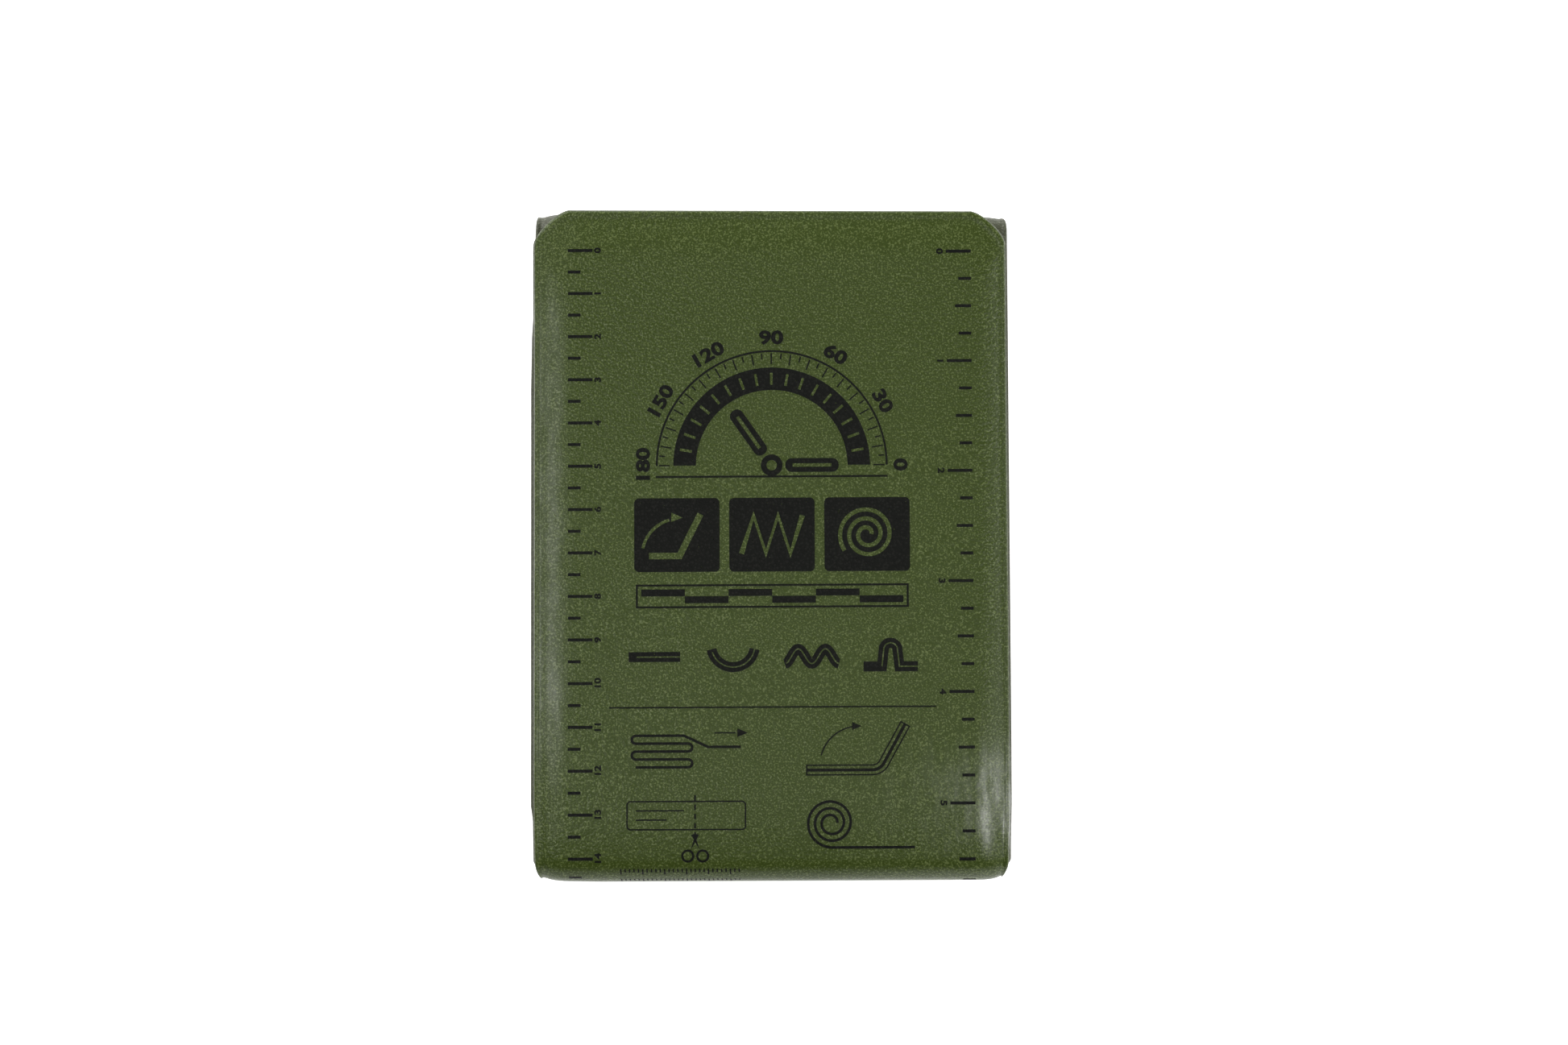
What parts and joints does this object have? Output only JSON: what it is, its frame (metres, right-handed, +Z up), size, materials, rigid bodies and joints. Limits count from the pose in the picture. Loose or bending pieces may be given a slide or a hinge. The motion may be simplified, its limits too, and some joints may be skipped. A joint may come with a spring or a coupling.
{
  "type": "folded aluminium foam splint",
  "caption": "Malleable splint of soft aluminium strip between two closed-cell foam layers, folded flat in a zigzag, with rounded ends and a printed ruler face.",
  "frame": {"origin": "middle of the folded pack, on the face that it rests on", "axes": "+X across the strip, +Y along the panels towards the two free ends, +Z up through the panels, with the printed face of the first panel up"},
  "size_m": [0.1102, 0.1554, 0.0346],
  "materials": {
    "front_foam": "matt olive closed-cell foam with a pebbled skin and a soft sheen, printed in black ink",
    "aluminium": "soft mill-finish aluminium",
    "back_foam": "matt greyish olive closed-cell foam with a pebbled skin"
  },
  "bodies": {
    "root": {"front_foam": "front_foam", "aluminium_core": "aluminium", "back_foam": "back_foam"}
  },
  "joints": []
}
